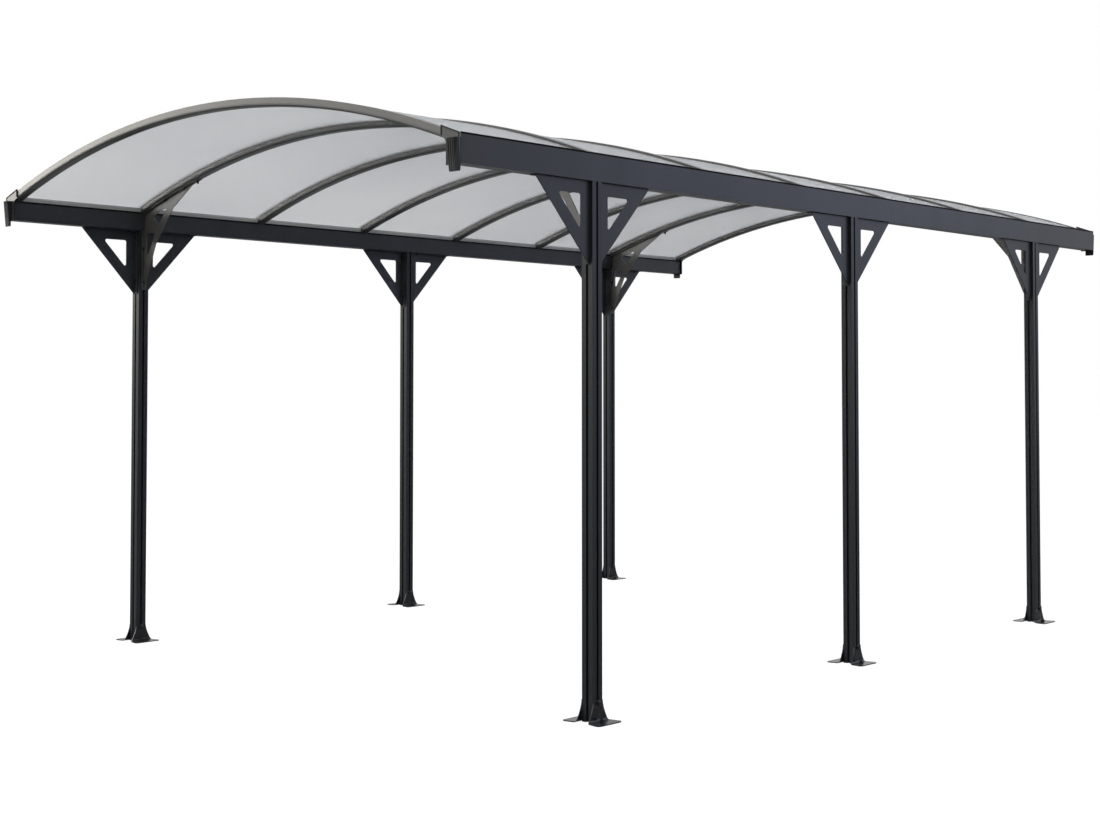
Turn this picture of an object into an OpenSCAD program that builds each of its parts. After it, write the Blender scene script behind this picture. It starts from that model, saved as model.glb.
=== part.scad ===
// Open carport: six grooved posts, two box gutters, eight arched rafters and seven curved roof panels.
// Width runs along X, length along Y, height along Z. The origin is on the ground in the middle.

/* [Overall] */
// Distance across the bay between the centres of the left and right posts
post_gap = 2960; // [2000:10:4000]
// Length of the roof, which is the length of each gutter
roof_len = 5000; // [4000:10:7000]
// Height of the gutters' underside above the ground
post_h = 2015; // [1700:5:2800]
// Rise of the end arches' top line above the gutters' outer edge
arch_rise = 267; // [180:1:420]

/* [Posts] */
// Side of the square post
post_w = 54; // [50:1:80]
// Width of the groove's mouth along each face of a post
groove_mouth = 11; // [6:1:14]
// Width of the groove behind its mouth
groove_w = 17; // [15:1:19]
// Depth of the groove's lips
groove_lip = 3; // [2:0.5:4]
// Full depth of the groove
groove_depth = 9; // [6:0.5:10]
// Side of the square hollow in the middle of a post
core_w = 24; // [10:1:26]

/* [Gutters] */
// Width of a gutter
gutter_w = 60; // [54:1:110]
// Height of a gutter's outer wall
gutter_h = 106; // [80:1:160]
// Thickness of the gutter's walls and floor
gutter_wall = 3; // [2:0.5:4]
// Width of the ledge folded over the gutter's inner wall, which carries the arches
ledge_w = 12; // [8:1:14]
// Width of the sloping seat under the lower edge of the roof panels
seat_w = 42; // [20:1:44]
// Thickness of that seat
seat_t = 2.5; // [2:0.5:4]

/* [Arches] */
// Width of an arch along the roof
arch_w = 44; // [36:1:70]
// Depth of the arch's box below the roof panels
arch_box_h = 26; // [18:1:40]
// Thickness of the cap over the panels on an inner arch
inner_cap_t = 9; // [3:0.5:14]
// Thickness of the lip over the panel's edge on an end arch
end_lip_t = 3; // [2:0.5:6]
// Width of the solid rib along the outer side of an end arch
end_rib_w = 14; // [8:1:24]
// Width of the rib between two neighbouring panels
rib_w = 8; // [4:1:14]
// How far inside the gutter's outer face the end arch's top line comes down to the gutter's edge
arch_inset = 24; // [10:1:40]
// Width of the slope cut off both lower edges of an arch
arch_chamfer = 6; // [2:0.5:6]
// Height of the groove along both sides of an arch, above its underside
side_groove_up = 8; // [7:0.5:12]
// Width of that groove
side_groove_w = 2; // [1:0.5:3]
// Depth of that groove
side_groove_depth = 1.5; // [0.5:0.5:3]

/* [Panels] */
// Thickness of a roof panel
panel_t = 4; // [3:0.5:10]
// Clearance between a panel and the arches, above and below
panel_clear = 0.3; // [0.1:0.1:1]
// Gap between a panel's side and the rib beside it
panel_side_gap = 2; // [1:0.5:4]

/* [Side braces] */
// Thickness of the brace plates
brace_t = 4; // [2:0.5:5]
// How far a side brace reaches along the gutter from its post
side_reach = 296; // [200:1:400]
// How far a side brace reaches down its post
side_drop = 312; // [200:1:500]
// Width of the metal round a brace's triangular window
brace_border = 50; // [30:1:60]
// Radius of that window's corners
window_r = 8; // [3:1:10]
// Distance from the post's outer face to a brace plate
brace_inset = 14; // [8:1:18]
// Width of the flange along a brace's edges
flange_w = 28; // [22:1:34]

/* [Roof braces] */
// How far a roof brace's plate reaches inwards from its post
roof_reach = 413; // [300:1:600]
// How far its flange runs on past the plate's tip
roof_tongue = 42; // [25:1:60]
// How far a roof brace reaches down its post below the gutter
roof_drop = 293; // [200:1:420]
// Distance from the post to the bend in its lower edge that is nearer the tip
knee_out = 246; // [220:1:280]
// Depth of that bend below the arch
knee_depth = 64; // [58:1:90]
// Distance from the post to the bend in its lower edge that is nearer the post
elbow_out = 102; // [98:1:120]
// Depth of that bend below the gutter
elbow_depth = 70; // [60:1:90]
// Width of the metal above a roof brace's upper window
roof_border = 40; // [34:1:46]
// Distance from the post to that window's corner nearest the post
upper_window_in = 77; // [60:1:90]
// Distance from the post to its lowest corner
upper_window_out = 122; // [118:1:130]
// Height of that corner above the gutter's underside
upper_window_up = 23; // [18:1:40]
// Width of the metal between the lower window and the post
lower_border = 26; // [22:1:32]
// Height of the gutter's underside above the lower window
lower_window_down = 15; // [12:1:24]
// Width of the lower window along its top
lower_window_w = 72; // [60:1:80]
// Height of the lower window along the post
lower_window_h = 125; // [90:1:140]

/* [Feet] */
// Height of a foot bracket
foot_h = 82; // [60:1:160]
// Width of a foot bracket at its top
foot_top_w = 50; // [30:1:54]
// Width of its upright plate where the bend begins
foot_waist_w = 116; // [100:1:130]
// Width its flange spreads to, measured to where its rounded corners would meet
foot_len = 143; // [135:1:220]
// How far the flange reaches out from the post
foot_reach = 66; // [50:1:120]
// Thickness of the foot brackets
foot_t = 4; // [3:0.5:6]
// Inner radius of the bend between the plate and the flange
foot_bend_r = 9; // [4:1:12]
// Radius of the flange's outer corners
foot_corner_r = 15; // [6:1:28]
// How much faster than a straight line the upright plate narrows above the bend
foot_flare = 1.6; // [1:0.1:2.5]
// Diameter of the anchor hole in each flange
anchor_d = 11; // [8:0.5:14]
// Distance from the end of the bend to the middle of that hole
anchor_in = 10; // [9:1:20]

/* [End caps] */
// Thickness of a cap's plate over the gutter's end
cap_plate_t = 3; // [2:0.5:5]
// How far the plate stands inwards of the gutter
cap_plate_side = 13; // [6:1:20]
// How far the cap's sloping wing reaches in from the gutter's outer face
cap_wing = 99; // [85:1:160]
// How far the wing stands above the end arch
cap_lift = 8; // [3:1:15]
// Width of the line sunk along the wing's edges
cap_line_w = 2; // [1:0.5:3]
// Distance of that line from the edges
cap_line_in = 5; // [4:0.5:8]
// Depth of that line
cap_line_depth = 1; // [0.5:0.25:1.5]
// Thickness of the ribbed block on the plate, at its top
cap_block_t = 20; // [14:1:30]
// Thickness of that block at its bottom
cap_block_end_t = 9; // [8:1:13]
// Width of the block
cap_block_w = 48; // [40:1:54]
// How far the block hangs below the gutter
cap_drop = 28; // [15:1:50]
// Width of the slope cut off its outer corner
cap_chamfer_w = 16; // [4:1:18]
// Depth of that slope
cap_chamfer_depth = 10; // [4:1:12]
// Number of grooves down the block
cap_groove_count = 3; // [1:1:4]
// Radius of those grooves
cap_groove_r = 2; // [1:0.5:3]

/* [Hidden] */
SIDES = ["left", "right"];
ROWS = ["front", "middle", "rear"];
CORNERS = ["front", "rear"];
bay_count = 7;
arch_count = bay_count + 1;
eps = 0.01;
seat_clear = 0.3;
box_clear = 1;
ring_fn = 720;
curve_steps = 12;

// Finishes
frame_colour = [0.23, 0.25, 0.28];
brace_colour = [0.21, 0.22, 0.24];
foot_colour = [0.17, 0.17, 0.18];
panel_colour = [0.75, 0.78, 0.81, 0.6];

// Places along the roof: inner arches stand one bay apart, and the end arches close the gutters' ends
bay = roof_len / bay_count;
half_len = roof_len / 2;
post_x = post_gap / 2;
post_out = post_x + post_w / 2;
post_in = post_x - post_w / 2;
function row_y(row) = (row == "front" ? -1 : row == "rear" ? 1 : 0) * (bay_count / 2 - 1) * bay;
function arch_y(i) = i == 1 ? -half_len + arch_w / 2
    : i == arch_count ? half_len - arch_w / 2
    : (i - (arch_count + 1) / 2) * bay;

// Gutter and roof section, measured on the right-hand side
gutter_in = post_out - gutter_w;
gutter_top = post_h + gutter_h;
chord_half = post_out - arch_inset;
end_top_r = (chord_half * chord_half + arch_rise * arch_rise) / (2 * arch_rise);
arch_z = gutter_top + arch_rise - end_top_r;
slot_h = panel_t + 2 * panel_clear;
slot_r = end_top_r - end_lip_t - slot_h;
box_r = slot_r - arch_box_h;
inner_top_r = slot_r + slot_h + inner_cap_t;
function ring_z(r, x) = arch_z + sqrt(r * r - x * x);
ledge_z = ring_z(box_r, gutter_in + gutter_wall);
seat_in = post_out - gutter_wall - seat_w;
roof_edge = post_out - gutter_wall - box_clear;
box_end = seat_in - box_clear;
wing_x = post_out - cap_wing;
plate_in = gutter_in - cap_plate_side;
function wing_z(x) = cap_lift + ring_z(end_top_r, wing_x)
    + (ring_z(end_top_r, post_out) - ring_z(end_top_r, wing_x)) * (x - wing_x) / cap_wing;

// A ring about the roof's axis, between two radii, from y0 to y1, reaching x_end on each side
module roof_ring(r0, r1, y0, y1, x_end) {
    half_angle = asin(x_end / r1);
    translate([0, y1, arch_z])
        rotate([90, 0, 0])
            rotate_extrude(angle = 2 * half_angle, start = 90 - half_angle, $fn = ring_fn)
                translate([r0, 0])
                    square([r1 - r0, y1 - y0]);
}

// Places its children on one side: they are drawn for the right-hand side
module on_side(side) {
    if (side == "left") mirror([1, 0, 0]) children();
    else children();
}

// A gutter: a channel with a tall outer wall, a ledge for the arches and a sloping seat for the panels
module gutter_section() {
    translate([gutter_in, post_h]) square([gutter_w, gutter_wall]);
    translate([post_out - gutter_wall, post_h]) square([gutter_wall, gutter_h]);
    translate([gutter_in, post_h]) square([gutter_wall, ledge_z - gutter_wall / 2 - post_h]);
    translate([gutter_in, ledge_z - gutter_wall]) square([ledge_w, gutter_wall]);
    intersection() {
        translate([seat_in, post_h]) square([seat_w + eps, gutter_h]);
        translate([0, arch_z])
            difference() {
                circle(r = slot_r - seat_clear, $fn = ring_fn);
                circle(r = slot_r - seat_clear - seat_t, $fn = ring_fn);
            }
    }
}

module gutter(side) {
    color(frame_colour)
        on_side(side)
            rotate([90, 0, 0])
                linear_extrude(roof_len, center = true)
                    gutter_section();
}

// An end cap: a plate over the gutter's end, with a sloping wing over the arch's foot and a ribbed block
module cap_plate_outline() {
    fillet_r = plate_in - wing_x;
    wing_low = ring_z(box_r, wing_x);
    difference() {
        polygon([
            [plate_in, post_h - gutter_wall],
            [post_out, post_h - gutter_wall],
            [post_out, wing_z(post_out)],
            [wing_x, wing_z(wing_x)],
            [wing_x, wing_low],
            [wing_x, wing_low - fillet_r],
            [plate_in, wing_low - fillet_r]
        ]);
        translate([wing_x, wing_low - fillet_r]) circle(r = fillet_r, $fn = 96);
    }
}

// The line sunk into the wing along its sloping top and down its inner edge
module cap_line() {
    x0 = wing_x + cap_line_in;
    x1 = post_out - cap_line_in;
    polygon([
        [x0, wing_z(x0) - cap_line_in],
        [x1, wing_z(x1) - cap_line_in],
        [x1, wing_z(x1) - cap_line_in - cap_line_w],
        [x0, wing_z(x0) - cap_line_in - cap_line_w]
    ]);
    translate([x0, ring_z(box_r, wing_x) + cap_line_in])
        square([cap_line_w, wing_z(x0) - cap_line_in - cap_line_w - ring_z(box_r, wing_x)]);
}

// The block's face leans in towards its bottom, so its grooved section is tilted about its top edge
module cap_block() {
    block_top = ring_z(box_r, plate_in);
    height = block_top - post_h + cap_drop;
    groove_pitch = (cap_block_w - cap_chamfer_w) / cap_groove_count;
    x0 = post_out - cap_block_w;
    intersection() {
        translate([x0, -2 * cap_block_t, block_top - height]) cube([cap_block_w, 2 * cap_block_t, height]);
        translate([0, -cap_block_t, block_top])
            rotate([atan2(cap_block_t - cap_block_end_t, height), 0, 0])
                translate([0, 0, -2 * height])
                    linear_extrude(3 * height)
                        difference() {
                            polygon([
                                [x0, 0],
                                [post_out - cap_chamfer_w, 0],
                                [post_out, cap_chamfer_depth],
                                [post_out, 3 * cap_block_t],
                                [x0, 3 * cap_block_t]
                            ]);
                            for (i = [1:cap_groove_count])
                                translate([x0 + (i - 0.5) * groove_pitch, 0])
                                    circle(r = cap_groove_r, $fn = 32);
                        }
    }
}

module gutter_cap(row, side) {
    color(frame_colour)
        on_side(side)
            mirror([0, row == "rear" ? 1 : 0, 0])
                translate([0, -half_len, 0])
                    union() {
                        difference() {
                            rotate([90, 0, 0])
                                linear_extrude(cap_plate_t)
                                    cap_plate_outline();
                            translate([0, cap_line_depth - cap_plate_t, 0])
                                rotate([90, 0, 0])
                                    linear_extrude(cap_plate_t)
                                        cap_line();
                        }
                        translate([0, -cap_plate_t + eps, 0]) cap_block();
                    }
}

// An arch: a curved box under the panels, with a rib between them and a cap or lip over their edges
module arch_body(end) {
    cap_r = slot_r + slot_h;
    edge = arch_w / 2;
    roof_ring(box_r, slot_r, -edge, edge, box_end);
    if (end) {
        roof_ring(slot_r - 1, end_top_r, -edge, end_rib_w - edge, box_end);
        roof_ring(slot_r, end_top_r, -edge, end_rib_w - edge, roof_edge);
        roof_ring(cap_r, end_top_r, -edge, edge, roof_edge);
    } else {
        roof_ring(slot_r - 1, inner_top_r, -rib_w / 2, rib_w / 2, box_end);
        roof_ring(slot_r, inner_top_r, -rib_w / 2, rib_w / 2, roof_edge);
        roof_ring(cap_r, inner_top_r, -edge, edge, roof_edge);
    }
}

// The wedge that slopes off an arch's lower edge
module arch_edge_cut() {
    half_angle = asin(post_out / box_r);
    slope = arch_chamfer + 1;
    translate([0, 0, arch_z])
        rotate([90, 0, 0])
            rotate_extrude(angle = 2 * half_angle, start = 90 - half_angle, $fn = ring_fn)
                translate([box_r, arch_w / 2])
                    polygon([[-1, -slope], [slope, 1], [-1, 1]]);
}

module arch(i) {
    foot_cut = gutter_w + seat_w;
    groove_r0 = box_r + side_groove_up;
    groove_y = arch_w / 2 - side_groove_depth;
    color(frame_colour)
        translate([0, arch_y(i), 0])
            mirror([0, i == arch_count ? 1 : 0, 0])
                difference() {
                    arch_body(i == 1 || i == arch_count);
                    for (end = [0, 1])
                        mirror([0, end, 0]) {
                            roof_ring(groove_r0, groove_r0 + side_groove_w, groove_y, arch_w, post_out);
                            arch_edge_cut();
                        }
                    for (side = SIDES)
                        on_side(side)
                            translate([gutter_in - foot_cut, -arch_w, ledge_z - foot_cut])
                                cube([2 * foot_cut, 2 * arch_w, foot_cut]);
                }
}

// A roof panel: a thin curved sheet whose long edges slide into the arches on both sides of it
module roof_panel(i) {
    r0 = slot_r + panel_clear;
    y0 = i == 1 ? -half_len + end_rib_w : arch_y(i) + rib_w / 2;
    y1 = i == bay_count ? half_len - end_rib_w : arch_y(i + 1) - rib_w / 2;
    color(panel_colour)
        roof_ring(r0, r0 + panel_t, y0 + panel_side_gap, y1 - panel_side_gap, roof_edge);
}

// A post: a square extrusion with an undercut groove down each face and a hollow core
module post_section() {
    difference() {
        square(post_w, center = true);
        square(core_w, center = true);
        for (a = [0:90:270])
            rotate(a)
                translate([post_w / 2, 0]) {
                    translate([-groove_lip, -groove_mouth / 2]) square([groove_lip + 1, groove_mouth]);
                    translate([-groove_depth, -groove_w / 2]) square([groove_depth - groove_lip, groove_w]);
                }
    }
}

module post(row, side) {
    color(frame_colour)
        on_side(side)
            translate([post_x, row_y(row), 0])
                linear_extrude(post_h)
                    post_section();
}

// A convex outline with rounded corners, its sides on the lines through the given points
function unit(v) = v / norm(v);
function corner_centre(p, q, s, r) =
    p + (unit(q - p) + unit(s - p)) * r / abs(cross(unit(q - p), unit(s - p)));

module rounded(points, r) {
    n = len(points);
    centres = [for (i = [0:n - 1]) corner_centre(points[i], points[(i + 1) % n], points[(i + n - 1) % n], r)];
    polygon(centres);
    for (i = [0:n - 1]) {
        side = centres[(i + 1) % n] - centres[i];
        translate(centres[i])
            rotate(atan2(side.y, side.x)) {
                circle(r = r, $fn = 64);
                translate([0, eps - r]) square([norm(side), 2 * (r - eps)]);
            }
    }
}

// The side brace's triangle, with its right angle under the gutter at the post's face
module side_brace_plate() {
    lost = brace_border * norm([side_reach, side_drop]) / (side_reach * side_drop);
    difference() {
        polygon([[0, 0], [side_reach, 0], [side_reach, -brace_t], [brace_t, -side_drop], [0, -side_drop]]);
        rounded([
            [brace_border, -brace_border],
            [side_reach * (1 - lost - brace_border / side_drop), -brace_border],
            [brace_border, -side_drop * (1 - lost - brace_border / side_reach)]
        ], window_r);
    }
}

// One side brace, reaching to the rear: its plate, the flange on the post and the flange under the gutter
module side_brace() {
    plate_x = post_out - brace_inset;
    translate([0, post_w / 2, post_h]) {
        translate([plate_x - brace_t, 0, 0])
            rotate([90, 0, 90])
                linear_extrude(brace_t)
                    side_brace_plate();
        translate([plate_x - flange_w, 0, -side_drop]) cube([flange_w, brace_t, side_drop]);
        translate([plate_x - flange_w, 0, -brace_t]) cube([flange_w, side_reach, brace_t]);
    }
}

module side_braces(row, side) {
    color(brace_colour)
        on_side(side)
            translate([0, row_y(row), 0])
                for (end = [0, 1])
                    mirror([0, end, 0])
                        side_brace();
}

// The roof brace's plate: its top edge follows the arch, and its lower edge bends twice down to the post
module roof_brace_plate() {
    top_r = box_r - seat_clear - brace_t / 2;
    tip_x = post_in - roof_reach;
    knee_x = post_in - knee_out;
    corner_x = min(gutter_in - seat_clear, post_in);
    under_z = post_h - seat_clear;
    upper_x = [knee_x + roof_border, post_in - upper_window_in];
    lower_corner = [post_in - lower_border, post_h - lower_window_down];
    difference() {
        intersection() {
            translate([0, arch_z]) circle(r = top_r, $fn = ring_fn);
            polygon([
                [tip_x, ring_z(top_r, tip_x) - brace_t],
                [tip_x, gutter_top + arch_rise],
                [corner_x, gutter_top + arch_rise],
                [corner_x, under_z],
                [post_in, under_z],
                [post_in, post_h - roof_drop],
                [post_in - brace_t, post_h - roof_drop],
                [post_in - elbow_out, post_h - elbow_depth],
                [knee_x, ring_z(top_r, knee_x) - knee_depth]
            ]);
        }
        rounded([
            [upper_x[0], ring_z(top_r, upper_x[0]) - roof_border],
            [upper_x[1], ring_z(top_r, upper_x[1]) - roof_border],
            [post_in - upper_window_out, post_h + upper_window_up]
        ], window_r);
        rounded([
            lower_corner,
            lower_corner - [lower_window_w, 0],
            lower_corner - [0, lower_window_h]
        ], window_r);
    }
}

module roof_brace(row, side) {
    tongue_x = post_in - roof_reach - roof_tongue;
    flange_r = box_r - seat_clear;
    color(brace_colour)
        on_side(side)
            translate([0, row_y(row), 0])
                union() {
                    translate([0, brace_t / 2, 0])
                        rotate([90, 0, 0])
                            linear_extrude(brace_t)
                                roof_brace_plate();
                    translate([post_in - brace_t, -flange_w / 2, post_h - roof_drop])
                        cube([brace_t, flange_w, roof_drop - seat_clear]);
                    intersection() {
                        roof_ring(flange_r - brace_t, flange_r, -flange_w / 2, flange_w / 2, gutter_in);
                        translate([tongue_x, -post_w, post_h])
                            cube([gutter_in - seat_clear - tongue_x, 2 * post_w, gutter_h + arch_rise]);
                    }
                }
}

// A foot bracket: a flared plate on the post's side, bent smoothly out into a flange on the ground
module foot_profile() {
    bend_out = foot_bend_r + foot_t;
    translate([0, bend_out]) square([foot_t, foot_h - bend_out]);
    translate([bend_out, 0]) square([foot_reach - bend_out, foot_t]);
    intersection() {
        square(bend_out);
        translate([bend_out, bend_out])
            difference() {
                circle(r = bend_out, $fn = 64);
                circle(r = foot_bend_r, $fn = 64);
            }
    }
}

// Half the plate's width at height z: it spreads ever faster towards the ground
function flare(z) = foot_top_w / 2 + (foot_waist_w - foot_top_w) / 2 * pow(1 - z / foot_h, foot_flare);

module foot_outline() {
    heights = [for (i = [0:curve_steps]) foot_t + (foot_h - foot_t) * i / curve_steps];
    polygon(concat(
        [[-foot_len / 2, 0], [foot_len / 2, 0], [foot_len / 2, foot_t]],
        [for (z = heights) [flare(z), z]],
        [for (i = [curve_steps:-1:0]) [-flare(heights[i]), heights[i]]],
        [[-foot_len / 2, foot_t]]
    ));
}

// The flange on the ground widens outwards from the bend, and its outer corners are rounded
module foot_plan() {
    r = foot_corner_r;
    back = 3 * r;
    back_w = foot_waist_w - (foot_len - foot_waist_w) * back / foot_reach;
    rounded([
        [-back, -back_w / 2],
        [foot_reach, -foot_len / 2],
        [foot_reach, foot_len / 2],
        [-back, back_w / 2]
    ], r);
}

module foot_bracket() {
    anchor_x = foot_t + foot_bend_r + anchor_in;
    difference() {
        intersection() {
            rotate([90, 0, 0])
                linear_extrude(foot_len + 2, center = true)
                    foot_profile();
            rotate([90, 0, 90])
                linear_extrude(foot_reach + 1)
                    foot_outline();
            linear_extrude(foot_h + 1)
                foot_plan();
        }
        translate([anchor_x, 0, -1]) cylinder(d = anchor_d, h = foot_t + 2, $fn = 48);
    }
}

module foot(row, side) {
    color(foot_colour)
        on_side(side)
            translate([post_x, row_y(row), 0])
                for (a = [0, 180])
                    rotate(a)
                        translate([post_w / 2, 0, 0])
                            foot_bracket();
}

for (side = SIDES)
    gutter(side);
for (row = CORNERS, side = SIDES)
    gutter_cap(row, side);
for (i = [1:arch_count])
    arch(i);
for (i = [1:bay_count])
    roof_panel(i);
for (row = ROWS, side = SIDES)
    post(row, side);
for (row = ROWS, side = SIDES)
    side_braces(row, side);
for (row = CORNERS, side = SIDES)
    roof_brace(row, side);
for (row = ROWS, side = SIDES)
    foot(row, side);
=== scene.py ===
import math

import bmesh
import bpy
import numpy as np
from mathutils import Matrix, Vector


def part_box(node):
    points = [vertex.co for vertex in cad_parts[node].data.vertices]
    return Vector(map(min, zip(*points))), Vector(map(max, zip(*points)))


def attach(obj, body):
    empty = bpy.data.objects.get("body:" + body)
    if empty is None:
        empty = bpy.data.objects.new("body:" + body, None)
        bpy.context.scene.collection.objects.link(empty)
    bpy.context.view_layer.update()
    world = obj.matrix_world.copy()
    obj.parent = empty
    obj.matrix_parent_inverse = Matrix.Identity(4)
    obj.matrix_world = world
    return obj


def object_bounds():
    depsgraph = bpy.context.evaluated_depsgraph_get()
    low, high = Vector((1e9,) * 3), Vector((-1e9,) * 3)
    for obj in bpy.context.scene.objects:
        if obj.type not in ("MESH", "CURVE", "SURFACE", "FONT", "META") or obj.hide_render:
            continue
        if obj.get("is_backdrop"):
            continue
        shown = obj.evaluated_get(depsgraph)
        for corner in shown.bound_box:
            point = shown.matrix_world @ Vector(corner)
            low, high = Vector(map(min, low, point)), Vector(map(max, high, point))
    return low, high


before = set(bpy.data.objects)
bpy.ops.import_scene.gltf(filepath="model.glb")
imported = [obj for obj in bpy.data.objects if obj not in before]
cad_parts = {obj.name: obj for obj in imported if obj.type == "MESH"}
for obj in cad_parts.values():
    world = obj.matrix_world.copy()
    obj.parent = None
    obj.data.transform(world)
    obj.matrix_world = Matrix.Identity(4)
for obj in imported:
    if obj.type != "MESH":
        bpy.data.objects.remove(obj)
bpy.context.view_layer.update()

# Studio: pale paper under the feet that still takes a soft shadow, white all round, and the camera.
# A broad lamp hangs over the roof, two stand front left and a cool one rear right. The paper is duller in
# reflections, as a studio floor is, so that the undersides of the frame stay dark.
PAPER_LIT, PAPER_SEEN, PAPER_MIRRORED = (0.22, 0.22, 0.22, 1), 0.88, 0.12
PAPER_HALF, PAPER_DOWN = 80, 0.0005
DOME_TONE, DOME_STRENGTH = (0.93, 0.96, 1.0, 1), 0.62
scene = bpy.context.scene
scene.view_settings.view_transform = "Standard"
floor_mesh = bpy.data.meshes.new("floor")
corners = [(x * PAPER_HALF, y * PAPER_HALF, -PAPER_DOWN) for x, y in ((-1, -1), (1, -1), (1, 1), (-1, 1))]
floor_mesh.from_pydata(corners, [], [(0, 1, 2, 3)])
floor = bpy.data.objects.new("floor", floor_mesh)
scene.collection.objects.link(floor)


def worked_out(tree, operation, *values):
    """One sum, product or comparison, of numbers and of other nodes' outputs."""
    node = tree.nodes.new("ShaderNodeMath")
    node.operation = operation
    for socket, value in zip(node.inputs, values):
        if isinstance(value, (int, float)):
            socket.default_value = value
        else:
            tree.links.new(value, socket)
    return node.outputs[0]


def spread(tree, share, low, high, start=0.0, end=1.0):
    """A value that goes evenly from low to high while the share goes from start to end."""
    node = tree.nodes.new("ShaderNodeMapRange")
    for name, value in (("From Min", start), ("From Max", end), ("To Min", low), ("To Max", high)):
        node.inputs[name].default_value = value
    tree.links.new(share, node.inputs["Value"])
    return node.outputs["Result"]


def seen_directly(tree):
    """One for a camera, glossy or transmission ray, and zero for the light that surfaces scatter."""
    path = tree.nodes.new("ShaderNodeLightPath").outputs
    seen = worked_out(tree, "MAXIMUM", path["Is Camera Ray"], path["Is Glossy Ray"])
    return worked_out(tree, "MAXIMUM", seen, path["Is Transmission Ray"])


paper = bpy.data.materials.new("floor_paper")
paper.use_nodes = True
tree = paper.node_tree
tree.nodes.clear()
lit = tree.nodes.new("ShaderNodeBsdfDiffuse")
lit.inputs["Color"].default_value = PAPER_LIT
glow = tree.nodes.new("ShaderNodeEmission")
mirrored = tree.nodes.new("ShaderNodeLightPath").outputs["Is Glossy Ray"]
brightness = worked_out(tree, "MULTIPLY", spread(tree, seen_directly(tree), 0.0, PAPER_SEEN),
                        spread(tree, mirrored, 1.0, PAPER_MIRRORED / PAPER_SEEN))
tree.links.new(brightness, glow.inputs["Strength"])
both = tree.nodes.new("ShaderNodeAddShader")
tree.links.new(lit.outputs[0], both.inputs[0])
tree.links.new(glow.outputs[0], both.inputs[1])
tree.links.new(both.outputs[0], tree.nodes.new("ShaderNodeOutputMaterial").inputs["Surface"])
floor_mesh.materials.append(paper)
floor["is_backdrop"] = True

world = bpy.data.worlds.new("studio")
scene.world = world
world.use_nodes = True
tree = world.node_tree
tree.nodes.clear()
dome = tree.nodes.new("ShaderNodeBackground")
dome.inputs["Color"].default_value = DOME_TONE
dome.inputs["Strength"].default_value = DOME_STRENGTH
white = tree.nodes.new("ShaderNodeBackground")
white.inputs["Color"].default_value = (1, 1, 1, 1)
pick = tree.nodes.new("ShaderNodeMixShader")
tree.links.new(seen_directly(tree), pick.inputs[0])
tree.links.new(dome.outputs[0], pick.inputs[1])
tree.links.new(white.outputs[0], pick.inputs[2])
tree.links.new(pick.outputs[0], tree.nodes.new("ShaderNodeOutputWorld").inputs["Surface"])

for name, place, aim, wide, high, power, colour in (
        ("roof_lamp", (-2.0, -3.0, 9.5), (0, 0, 2.2), 7.0, 7.0, 420, (1.0, 0.99, 0.96)),
        ("warm_lamp", (-14.4, -7.6, 4.9), (0, -1.5, 2.2), 7.0, 4.2, 900, (1.0, 0.96, 0.88)),
        ("front_lamp", (-6.0, -14.2, 4.9), (0.5, 0, 2.2), 9.0, 4.2, 420, (1.0, 0.97, 0.92)),
        ("cool_lamp", (9.0, 9.0, 4.0), (1.5, 1.0, 1.8), 6.0, 3.0, 150, (0.52, 0.62, 1.0))):
    lamp = bpy.data.lights.new(name, "AREA")
    lamp.shape = "RECTANGLE"
    lamp.size, lamp.size_y = wide, high
    lamp.energy = power
    lamp.color = colour
    holder = bpy.data.objects.new(name, lamp)
    holder.location = place
    holder.rotation_euler = (Vector(aim) - Vector(place)).to_track_quat("-Z", "Y").to_euler()
    holder.visible_camera = False
    scene.collection.objects.link(holder)

lens = bpy.data.cameras.new("camera")
lens.sensor_width = 36.0
lens.lens = 54.63
lens.shift_x, lens.shift_y = -0.0061, -0.0747
camera = bpy.data.objects.new("camera", lens)
camera.location = (5.5901, -6.5088, 1.2466)
camera.rotation_euler = (math.radians(91.937), 0, math.radians(42.237))
scene.collection.objects.link(camera)
scene.camera = camera

# Feet: flared steel brackets, pressed and bent from 4 mm plate and coated dark grey, a pair to each post.
# An anchor bolt holds each flange to the ground, and a screw high on the plate holds it to the post.
SIDES, ROWS, CORNERS = ("left", "right"), ("front", "middle", "rear"), ("front", "rear")
OUTWARDS = {"left": -1, "right": 1}
FOOT_TONE, BOLT_TONE = (0.013, 0.013, 0.015), (0.010, 0.010, 0.011)


def new_finish(name):
    """A new material, with its tree, its shader and the piece's own coordinates."""
    mat = bpy.data.materials.new(name)
    mat.use_nodes = True
    tree = mat.node_tree
    return mat, tree, tree.nodes["Principled BSDF"], tree.nodes.new("ShaderNodeTexCoord").outputs["Object"]


def cloudy(tree, where, scale, detail=2.0):
    """Noise from zero to one, with so many patches to the metre."""
    node = tree.nodes.new("ShaderNodeTexNoise")
    node.inputs["Scale"].default_value = scale
    node.inputs["Detail"].default_value = detail
    tree.links.new(where, node.inputs["Vector"])
    return node.outputs["Fac"]


def toned(tree, share, low, high, start, end, blend="LINEAR"):
    """A colour that goes from low to high while the share goes from start to end."""
    node = tree.nodes.new("ShaderNodeValToRGB")
    node.color_ramp.interpolation = blend
    for stop, place, colour in zip(node.color_ramp.elements, (start, end), (low, high)):
        stop.position = place
        stop.color = (*colour, 1)
    tree.links.new(share, node.inputs["Fac"])
    return node.outputs["Color"]


def pitted(tree, height, strength, depth, shader):
    """Fine unevenness that tilts the shader's surface. Its node is handed back, to take softened edges."""
    node = tree.nodes.new("ShaderNodeBump")
    node.inputs["Strength"].default_value = strength
    node.inputs["Distance"].default_value = depth
    tree.links.new(height, node.inputs["Height"])
    tree.links.new(node.outputs["Normal"], shader.inputs["Normal"])
    return node


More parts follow.
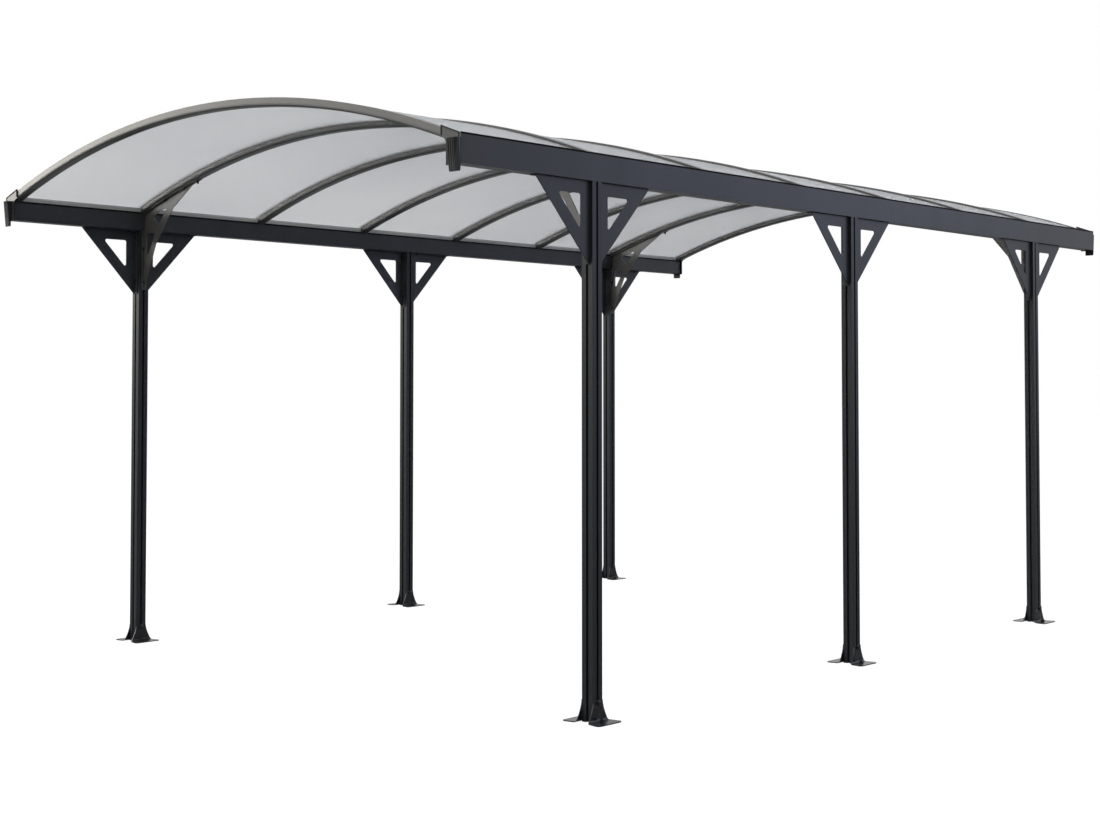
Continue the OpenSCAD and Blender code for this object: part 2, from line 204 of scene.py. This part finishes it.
def coated_metal(name, tone, roughness, shine=0.2, edge=0.0012):
    """Powder coat: a slow mottle of the tone, streaks in the gloss, fine orange peel and soft edges."""
    mat, tree, coat, where = new_finish(name)
    coat.inputs["Specular IOR Level"].default_value = shine
    darker, lighter = [c * 0.9 for c in tone], [c * 1.1 for c in tone]
    mottle = toned(tree, cloudy(tree, where, 2.4, 6.0), darker, lighter, 0.3, 0.7)
    tree.links.new(mottle, coat.inputs["Base Color"])
    stretch = tree.nodes.new("ShaderNodeMapping")
    stretch.inputs["Scale"].default_value = (5, 5, 1.2)
    tree.links.new(where, stretch.inputs["Vector"])
    streaks = cloudy(tree, stretch.outputs["Vector"], 1.0, 4.0)
    gloss = spread(tree, streaks, roughness - 0.02, roughness + 0.02, 0.3, 0.7)
    tree.links.new(gloss, coat.inputs["Roughness"])
    peel = pitted(tree, cloudy(tree, where, 320.0), 0.12, 0.0003, coat)
    soft = tree.nodes.new("ShaderNodeBevel")
    soft.samples = 4
    soft.inputs["Radius"].default_value = edge
    tree.links.new(soft.outputs["Normal"], peel.inputs["Normal"])
    return mat


def paint(names, mat):
    """Puts one finish on every material slot of the named nodes."""
    for name in names:
        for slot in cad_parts[name].material_slots:
            slot.material = mat


def lathe(rows, sides=24):
    """A turned solid along +Z. Each row is a radius, a height and a number of flats: a ring with flats is a
    regular polygon, its radius divided by the cosine of the angle from the middle of the nearest flat."""
    radius, height, flats = (np.array(column, float)[:, None] for column in zip(*rows))
    turn = np.arange(sides) * 2 * np.pi / sides
    flat = 2 * np.pi / np.maximum(flats, 1)
    off = np.where(flats > 0, (turn + flat / 2) % flat - flat / 2, 0)
    radius = radius / np.cos(off)
    return np.stack([radius * np.cos(turn), radius * np.sin(turn), height + 0 * turn], axis=2)


def stand(rings, place, way):
    """Stands a solid made along +Z at a place, pointing a way: its X and Y go onto two lines square to it."""
    way = np.array(way, float) / np.linalg.norm(way)
    across = np.cross(way, (0.0, 0.0, 1.0) if abs(way[2]) < 0.9 else (0.0, 1.0, 0.0))
    across /= np.linalg.norm(across)
    return np.array(place) + rings @ np.stack([across, np.cross(way, across), way])


SMOOTH_UP_TO = math.radians(32)


def make_piece(name, solids, mat):
    """Skins each solid's rings of points with quads from ring to ring and a flat face over both ends, joins
    them in one mesh with their faces turned outwards, and hands it to the frame."""
    points, faces, first = [], [], 0
    for rings in solids:
        count, sides = rings.shape[:2]
        index = first + np.arange(count * sides).reshape(count, sides)
        after = np.roll(index, -1, axis=1)
        quads = np.stack([index[:-1], after[:-1], after[1:], index[1:]], axis=2).reshape(-1, 4)
        faces += quads.tolist() + [index[0, ::-1].tolist(), index[-1].tolist()]
        points.append(rings.reshape(-1, 3))
        first += count * sides
    mesh = bpy.data.meshes.new(name)
    mesh.from_pydata(np.concatenate(points), [], faces)
    shell = bmesh.new()
    shell.from_mesh(mesh)
    bmesh.ops.recalc_face_normals(shell, faces=shell.faces)
    shell.to_mesh(mesh)
    shell.free()
    mesh.shade_smooth()
    mesh.set_sharp_from_angle(angle=SMOOTH_UP_TO)
    mesh.materials.append(mat)
    piece = bpy.data.objects.new(name, mesh)
    scene.collection.objects.link(piece)
    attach(piece, "root")


def post_place(row, side):
    """A post's middle in X and Y, and half its width."""
    low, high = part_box(f"post_{row}_{side}")
    return (low[0] + high[0]) / 2, (low[1] + high[1]) / 2, (high[0] - low[0]) / 2


foot_coat = coated_metal("foot_coat", FOOT_TONE, 0.27, shine=0.32)
bolt_coat = coated_metal("bolt_coat", BOLT_TONE, 0.32, shine=0.4, edge=0.0004)
paint([f"foot_{row}_{side}" for row in ROWS for side in SIDES], foot_coat)

FOOT_T, BEND_R, ANCHOR_IN = 0.004, 0.009, 0.010
FOOT_SCREW_UP, FOOT_SCREW_SIZE = 0.072, 1.3
ANCHOR = [(0.0040, 0.0004, 0), (0.0046, 0.0010, 0), (0.0046, 0.0040, 0), (0.0094, 0.0040, 0),
          (0.0096, 0.0043, 0), (0.0096, 0.0057, 0), (0.0093, 0.0060, 0), (0.0078, 0.0060, 0),
          (0.0080, 0.0066, 6), (0.0080, 0.0130, 6), (0.0075, 0.0137, 0), (0.0050, 0.0137, 0),
          (0.0049, 0.0143, 0), (0.0044, 0.0148, 0), (0.0049, 0.0153, 0), (0.0044, 0.0158, 0),
          (0.0049, 0.0163, 0), (0.0044, 0.0168, 0), (0.0049, 0.0173, 0), (0.0044, 0.0178, 0),
          (0.0048, 0.0183, 0), (0.0040, 0.0190, 0)]
HEX_SCREW = [(0.0074, 0.0, 0), (0.0076, 0.0003, 0), (0.0076, 0.0012, 0), (0.0070, 0.0016, 0),
             (0.0054, 0.0018, 0), (0.0055, 0.0022, 6), (0.0055, 0.0052, 6), (0.0050, 0.0060, 0)]
LOCK_NUT = [(0.0088, 0.0, 0), (0.0090, 0.0004, 0), (0.0090, 0.0014, 0), (0.0066, 0.0018, 0),
            (0.0066, 0.0024, 6), (0.0066, 0.0078, 6), (0.0052, 0.0090, 0), (0.0050, 0.0108, 0),
            (0.0040, 0.0114, 0), (0.0039, 0.0148, 0), (0.0032, 0.0156, 0)]
for row in ROWS:
    for side in SIDES:
        x, y, face = post_place(row, side)
        bolt_out, plate_out = face + FOOT_T + BEND_R + ANCHOR_IN, face + FOOT_T
        make_piece(f"anchor_bolts_{row}_{side}",
                   [stand(lathe(ANCHOR), (x + s * bolt_out, y, 0), (0, 0, 1)) for s in (-1, 1)],
                   bolt_coat)
        screw = FOOT_SCREW_SIZE * lathe(HEX_SCREW)
        make_piece(f"foot_screws_{row}_{side}",
                   [stand(screw, (x + s * plate_out, y, FOOT_SCREW_UP), (s, 0, 0)) for s in (-1, 1)],
                   bolt_coat)

# Posts: square aluminium extrusions with an undercut groove down each face, powder coated anthracite.
# Each is cut square and stands on the ground between its two feet, with the gutter on its top.
# The posts' tone is darker than the gutters' coat of the same anthracite: painted shade, so that the posts
# stay dark.
POST_TONE_PAINTED_SHADE = (0.018, 0.020, 0.023)
post_coat_painted_shade = coated_metal("post_coat_painted_shade", POST_TONE_PAINTED_SHADE, 0.38, shine=0.2)
paint([f"post_{row}_{side}" for row in ROWS for side in SIDES], post_coat_painted_shade)

# Gutters: long channels of folded aluminium with a tall outer wall, which lie on the posts and carry the
# arches. A black edging over the top of the outer wall, where the roof panels end, is painted shade for the
# shadow gap there.
FRAME_TONE = (0.031, 0.033, 0.037)
frame_coat = coated_metal("frame_coat", FRAME_TONE, 0.38)
paint([f"gutter_{side}" for side in SIDES], frame_coat)


def black_painted_shade():
    """Matt black, a little greyer where dust lies, with a fine grain: the finish of the black pieces that are
    painted shade.
    """
    mat, tree, skin, where = new_finish("black_painted_shade")
    skin.inputs["Specular IOR Level"].default_value = 0.06
    dust = cloudy(tree, where, 7.0, 5.0)
    shade = toned(tree, dust, (0.003, 0.003, 0.003), (0.007, 0.007, 0.0065), 0.35, 0.75)
    tree.links.new(shade, skin.inputs["Base Color"])
    tree.links.new(spread(tree, dust, 0.55, 0.75), skin.inputs["Roughness"])
    pitted(tree, cloudy(tree, where, 900.0), 0.2, 0.0002, skin)
    return mat


def rounded_outline(corners, radius, steps=4):
    """A closed outline, anticlockwise, with each corner an arc: its centre lies inwards of both sides by the
    radius, and its points turn evenly from one side's outward normal to the next side's."""
    corners = np.array(corners, float)
    side = np.roll(corners, -1, axis=0) - corners
    ahead = np.arctan2(side[:, 1], side[:, 0])
    before = np.roll(ahead, 1)
    turn = (ahead - before) % (2 * np.pi)
    along = np.stack([np.cos(ahead), np.sin(ahead)], axis=1)
    inwards = np.stack([-np.sin(ahead), np.cos(ahead)], axis=1)
    centre = corners + radius * (np.tan(turn / 2)[:, None] * along + inwards)
    angle = (before - np.pi / 2)[:, None] + turn[:, None] * np.linspace(0, 1, steps + 1)
    arc = np.stack([np.cos(angle), np.sin(angle)], axis=2)
    return (centre[:, None] + radius * arc).reshape(-1, 2)


def straight_strip(outline, start, end, way):
    """A strip along the roof: the outline lies across X and Z at both ends, with X times the way it faces."""
    x, z = outline[:, 0] * way, outline[:, 1]
    return np.stack([np.stack([x, y + 0 * x, z], axis=1) for y in (start, end)])


# The black edging along the outer wall's top is painted shade, standing for the shadow gap under the panels.
EDGING_PAINTED_SHADE = [(-0.0038, -0.005), (0.0008, -0.005), (0.0008, 0.0024), (-0.0038, 0.0024)]
painted_shade_black = black_painted_shade()
for side in SIDES:
    low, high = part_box(f"gutter_{side}")
    outer = max(abs(low[0]), abs(high[0]))
    painted_shade_edging = straight_strip(rounded_outline(np.array(EDGING_PAINTED_SHADE) + (outer, high[2]), 0.0018),
                            low[1], high[1], OUTWARDS[side])
    make_piece(f"gutter_painted_shade_edging_{side}", [painted_shade_edging], painted_shade_black)

# End caps: pressed covers over the gutters' ends, coated like them, each with a boss on its face that holds a
# ribbed clip of black plastic. Black cords along the edges of the wing are painted shade, for the shade in
# the grooves there.
CAP_TONE, CLIP_SHARE, CLIP_ROUGHER = (0.030, 0.031, 0.033), 0.2, 0.34
PLATE_T, BOSS_DEEP, CLIP_LINE = 0.003, 0.013, 0.0005


def cap_finish(plate_face, wing_foot):
    """The cap's coat, with its tone and gloss taken down to black plastic below the foot of the wing, apart
    from the sides of the boss, which reach BOSS_DEEP along the roof from the face of the plate."""
    mat = coated_metal("cap_coat", CAP_TONE, 0.24, shine=0.25, edge=0.0004)
    tree = mat.node_tree
    coat = tree.nodes["Principled BSDF"]
    place = tree.nodes.new("ShaderNodeSeparateXYZ")
    tree.links.new(tree.nodes.new("ShaderNodeTexCoord").outputs["Object"], place.inputs["Vector"])
    on_boss = worked_out(tree, "COMPARE", worked_out(tree, "ABSOLUTE", place.outputs["Y"]),
                         plate_face + BOSS_DEEP / 2, BOSS_DEEP / 2 - CLIP_LINE)
    below_wing = worked_out(tree, "LESS_THAN", place.outputs["Z"], wing_foot)
    on_clip = worked_out(tree, "MAXIMUM", worked_out(tree, "SUBTRACT", below_wing, on_boss), 0.0)
    tone = tree.nodes.new("ShaderNodeVectorMath")
    tone.operation = "SCALE"
    tree.links.new(coat.inputs["Base Color"].links[0].from_socket, tone.inputs[0])
    tree.links.new(spread(tree, on_clip, 1.0, CLIP_SHARE), tone.inputs["Scale"])
    tree.links.new(tone.outputs[0], coat.inputs["Base Color"])
    gloss = coat.inputs["Roughness"].links[0].from_socket
    tree.links.new(worked_out(tree, "MULTIPLY_ADD", on_clip, CLIP_ROUGHER, gloss), coat.inputs["Roughness"])
    return mat


def clip_top(name, plate_face):
    """The greatest height of the vertices that lie further along the roof than the face of the plate."""
    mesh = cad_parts[name].data
    spots = np.empty(3 * len(mesh.vertices))
    mesh.vertices.foreach_get("co", spots)
    spots = spots.reshape(-1, 3)
    return float(spots[np.abs(spots[:, 1]) > plate_face + CLIP_LINE, 2].max())


plate_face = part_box("gutter_left")[1][1] + PLATE_T
cap_coat = cap_finish(plate_face, clip_top("gutter_cap_front_left", plate_face) + CLIP_LINE)
paint([f"gutter_cap_{row}_{side}" for row in CORNERS for side in SIDES], cap_coat)


def bent_cord(path, radius, sides=10):
    """A round cord along a bent line in a plane square to Y: each joint's ring lies in the plane that halves
    the bend, so its width across the bend is the radius over the cosine of half the turn."""
    path, along_roof = np.array(path, float), np.array([0.0, 1.0, 0.0])
    ahead = np.diff(path, axis=0)
    ahead /= np.linalg.norm(ahead, axis=1)[:, None]
    before, after = np.vstack([ahead[:1], ahead]), np.vstack([ahead, ahead[-1:]])
    along = before + after
    half = np.linalg.norm(along, axis=1)[:, None] / 2
    across = np.cross(along / (2 * half), along_roof) / half
    turn = np.linspace(0, 2 * np.pi, sides, endpoint=False)[None, :, None]
    return path[:, None] + radius * (np.cos(turn) * across[:, None] + np.sin(turn) * along_roof)


# The black cords along the wing's edges are painted shade: they stand for the shade in the grooves there.
WING_REACH, WING_FOOT_DOWN = 0.099, 0.001
TRIM_R, TRIM_IN, TRIM_OUTER_IN = 0.0019, 0.0018, 0.009
TRIM_DOWN_INNER, TRIM_DOWN_OUTER = 0.034, 0.020
for row, end in (("front", -1), ("rear", 1)):
    for side in SIDES:
        low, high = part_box(f"gutter_cap_{row}_{side}")
        gutter_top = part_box(f"gutter_{side}")[1][2]
        outer = max(abs(low[0]), abs(high[0]))
        wing_start = outer - WING_REACH
        slope = (gutter_top - WING_FOOT_DOWN - high[2]) / WING_REACH
        inner_x, outer_x = wing_start + TRIM_IN, outer - TRIM_OUTER_IN
        inner_z, outer_z = (high[2] + slope * (x - wing_start) - TRIM_IN for x in (inner_x, outer_x))
        line = [(inner_x, inner_z - TRIM_DOWN_INNER), (inner_x, inner_z),
                (outer_x, outer_z), (outer_x, outer_z - TRIM_DOWN_OUTER)]
        painted_shade_cord = bent_cord([(OUTWARDS[side] * x, end * plate_face, z) for x, z in line], TRIM_R)
        make_piece(f"cap_cord_{row}_{side}", [painted_shade_cord], painted_shade_black)

# Side braces: pressed steel plates with a triangular window and folded flanges, coated anthracite.
# Hex-headed screws go up through the top flange into the gutter, and sideways into the post's groove.
side_brace_coat = coated_metal("side_brace_coat", FRAME_TONE, 0.40)
paint([f"side_braces_{row}_{side}" for row in ROWS for side in SIDES], side_brace_coat)
BRACE_T = 0.004
GUTTER_SCREWS_OUT, GUTTER_SCREW_IN = (0.072, 0.278), 0.003
POST_SCREWS_DOWN, POST_SCREW_IN = (0.051, 0.243), 0.001
for row in ROWS:
    for side in SIDES:
        way, top = OUTWARDS[side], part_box(f"side_braces_{row}_{side}")[1][2]
        x, y, face = post_place(row, side)
        screws = [stand(lathe(HEX_SCREW), (x - way * GUTTER_SCREW_IN, y + s * out, top - BRACE_T), (0, 0, -1))
                  for s in (-1, 1) for out in GUTTER_SCREWS_OUT]
        screws += [stand(lathe(HEX_SCREW), (x - way * POST_SCREW_IN, y + s * (face + BRACE_T), top - down),
                         (0, s, 0))
                   for s in (-1, 1) for down in POST_SCREWS_DOWN]
        make_piece(f"side_brace_screws_{row}_{side}", screws, bolt_coat)

# Roof braces: the same kind of plate, standing across the roof from the corner posts to the arches.
# Screws go through their flanges on both sides of the plate, and one through the tongue at the tip.
# The arches and the braces' upper flanges curve about one axis, which runs along the roof at AXIS_Z.
# The roof braces' tone is twice as light and warmer than the side braces' coat: painted light, for the sheen
# they catch.
BRACE_TONE_PAINTED_LIGHT = (0.062, 0.060, 0.054)
AXIS_Z = -1.86402
roof_brace_coat_painted_light = coated_metal("roof_brace_coat_painted_light", BRACE_TONE_PAINTED_LIGHT, 0.38, shine=0.5)
paint([f"roof_brace_{row}_{side}" for row in CORNERS for side in SIDES], roof_brace_coat_painted_light)
BESIDE_PLATE, POST_FIXINGS_DOWN = 0.0082, (0.090, 0.255)
ARCH_FIXINGS = ((0.014, (0,), LOCK_NUT), (0.110, (-1, 1), HEX_SCREW), (0.270, (-1, 1), HEX_SCREW))
for row in CORNERS:
    for side in SIDES:
        way = OUTWARDS[side]
        low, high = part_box(f"roof_brace_{row}_{side}")
        tip = min(abs(low[0]), abs(high[0]))
        x, y, face = post_place(row, side)
        inner_x, post_top = abs(x) - face - BRACE_T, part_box(f"post_{row}_{side}")[1][2]
        screws = [stand(lathe(HEX_SCREW), (way * inner_x, y + s * BESIDE_PLATE, post_top - down),
                        (-way, 0, 0))
                  for s in (-1, 1) for down in POST_FIXINGS_DOWN]
        flange_r = math.hypot(tip, high[2] - AXIS_Z) - BRACE_T
        for past_tip, beside, kind in ARCH_FIXINGS:
            out = tip + past_tip
            z = AXIS_Z + math.sqrt(flange_r ** 2 - out ** 2)
            screws += [stand(lathe(kind), (way * out, y + s * BESIDE_PLATE, z), (-way * out, 0, AXIS_Z - z))
                       for s in beside]
        make_piece(f"roof_brace_screws_{row}_{side}", screws, bolt_coat)

# Arches: curved aluminium box extrusions that hold the panels' edges under their caps and lips.
# Between them a light grey strip under the panels' lower edge, on a black lip over the gutter: the strip is a
# painted reflection, and the lip painted shade in the gap over the gutter.
ARCH_TONE_PAINTED_LIGHT, EAVE_TONE_PAINTED_REFLECTION = (0.040, 0.040, 0.039), (0.42, 0.42, 0.415)
# The arches' tone is lighter than the gutters' coat: painted light, for the sheen on their sides.
arch_coat_painted_light = coated_metal("arch_coat_painted_light", ARCH_TONE_PAINTED_LIGHT, 0.31, shine=0.45)
paint([f"arch_{i}" for i in range(1, 9)], arch_coat_painted_light)
# The grey strip is a painted reflection, and the black lip under it is painted shade in the gap over the
# gutter.
eave_coat_painted_reflection = coated_metal("eave_coat_painted_reflection", EAVE_TONE_PAINTED_REFLECTION, 0.40)
EAVE_STRIP_PAINTED_REFLECTION = [(0.0010, -0.0155), (0.0040, -0.0155), (0.0040, 0.0028),
              (-0.0012, 0.0045), (-0.0012, -0.0060), (0.0010, -0.0075)]
EAVE_LIP_PAINTED_SHADE = [(0.0022, -0.0238), (0.0046, -0.0238), (0.0046, -0.0150), (0.0022, -0.0150)]
EAVE_CLEAR = 0.001
for side in SIDES:
    low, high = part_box(f"gutter_{side}")
    inner_top = (min(abs(low[0]), abs(high[0])), high[2])
    strip = rounded_outline(np.array(EAVE_STRIP_PAINTED_REFLECTION) + inner_top, 0.0004, steps=2)
    lip = rounded_outline(np.array(EAVE_LIP_PAINTED_SHADE) + inner_top, 0.0008, steps=2)
    for i in range(1, 8):
        start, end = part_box(f"arch_{i}")[1][1] + EAVE_CLEAR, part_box(f"arch_{i + 1}")[0][1] - EAVE_CLEAR
        for name, outline, mat in (("strip", strip, eave_coat_painted_reflection), ("lip", lip, painted_shade_black)):
            run = straight_strip(outline, start, end, OUTWARDS[side])
            make_piece(f"eave_{name}_{i}_{side}", [run], mat)

# Roof panels: sheets of smoke-grey polycarbonate, cold-bent and slid into the arches' slots from the side.
# Each takes its curve from the arches on both sides of it, and ends at the gutters' outer walls.
CLOUD_REFLECTION_LIGHT_TINT, CLOUD_REFLECTION_DARK_TINT = (0.965, 0.97, 0.975), (0.87, 0.88, 0.895)
SMOKE_TONE, SMOKE_DENSITY, LAMP_TONE = (0.66, 0.675, 0.70, 1), 60.0, (0.76, 0.77, 0.79, 1)


def smoked_sheet():
    """Clear plastic that absorbs more the longer the way through it, with a faint slow clouding of its tint:
    a painted reflection.
    Lamps shine through it, so that what stands under the roof is lit."""
    mat, tree, sheet, where = new_finish("smoked_sheet")
    link, output = tree.links.new, tree.nodes["Material Output"]
    sheet.inputs["Transmission Weight"].default_value = 0.88
    sheet.inputs["IOR"].default_value = 1.16
    sheet.inputs["Roughness"].default_value = 0.45
    # The slow clouding of the tint is a painted reflection on the sheets.
    tint = toned(tree, cloudy(tree, where, 0.6), CLOUD_REFLECTION_DARK_TINT, CLOUD_REFLECTION_LIGHT_TINT, 0.25, 0.75, blend="EASE")
    link(tint, sheet.inputs["Base Color"])
    lets_through = tree.nodes.new("ShaderNodeBsdfTransparent")
    lets_through.inputs["Color"].default_value = LAMP_TONE
    either = tree.nodes.new("ShaderNodeMixShader")
    link(tree.nodes.new("ShaderNodeLightPath").outputs["Is Shadow Ray"], either.inputs[0])
    link(sheet.outputs[0], either.inputs[1])
    link(lets_through.outputs[0], either.inputs[2])
    link(either.outputs[0], output.inputs["Surface"])
    smoke = tree.nodes.new("ShaderNodeVolumeAbsorption")
    smoke.inputs["Color"].default_value = SMOKE_TONE
    smoke.inputs["Density"].default_value = SMOKE_DENSITY
    link(smoke.outputs[0], output.inputs["Volume"])
    return mat


paint([f"roof_panel_{i}" for i in range(1, 8)], smoked_sheet())

low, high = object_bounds()
